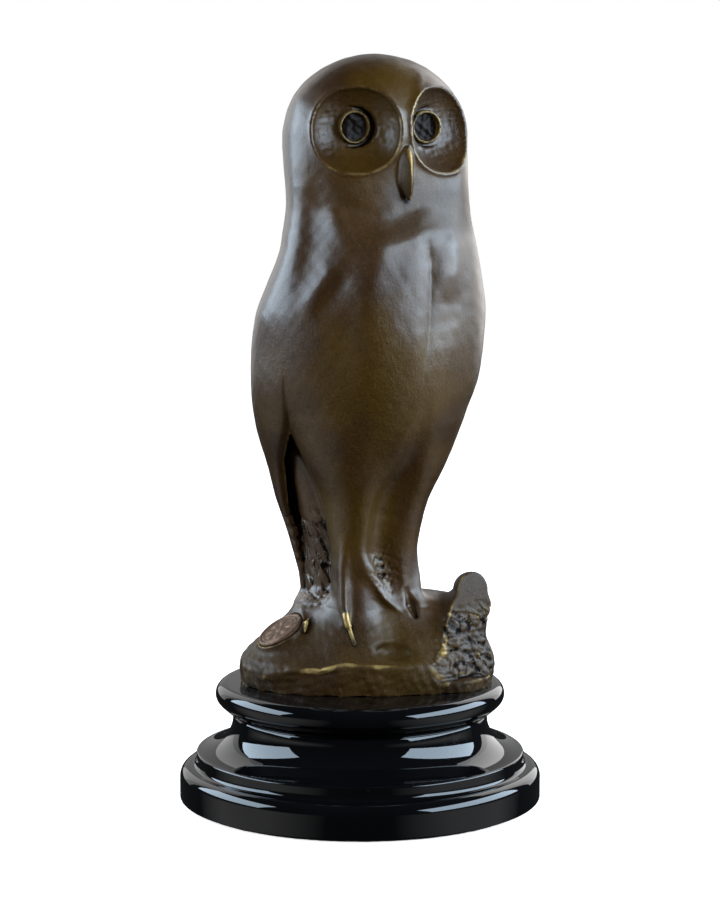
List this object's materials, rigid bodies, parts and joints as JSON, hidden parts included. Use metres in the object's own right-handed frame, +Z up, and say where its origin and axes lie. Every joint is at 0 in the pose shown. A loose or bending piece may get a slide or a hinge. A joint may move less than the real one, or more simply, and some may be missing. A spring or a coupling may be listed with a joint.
{
  "type": "owl figurine",
  "caption": "Bronze owl standing on a rock, bolted to a round two-piece polished black marble plinth with a felt foot.",
  "frame": {"origin": "centre of the felt's underside, on the axis of the turned plinth", "axes": "+Z up along the plinth's axis; the owl faces -Y, +X is to the right of a viewer who faces the owl"},
  "size_m": [0.127, 0.127, 0.26],
  "materials": {
    "bronze": "dark brown patina over cast bronze, worn golden on the edges, waxed",
    "copper": "pinkish brown pressed copper, lightly tarnished",
    "marble": "black marble, turned and highly polished",
    "plain_steel": "bare mild steel",
    "zinc_steel": "bright zinc plated steel",
    "rubber": "matt black rubber",
    "felt": "dark green wool felt"
  },
  "bodies": {
    "root": {"owl_casting": "bronze", "foundry_seal": "copper", "plinth_cap": "marble", "plinth_foot": "marble", "bridge_bar": "plain_steel", "tie_stud": "zinc_steel", "jam_nut": "zinc_steel", "cushion_washer": "rubber", "steel_washer": "zinc_steel", "fixing_nut": "zinc_steel", "base_felt": "felt"}
  },
  "joints": []
}
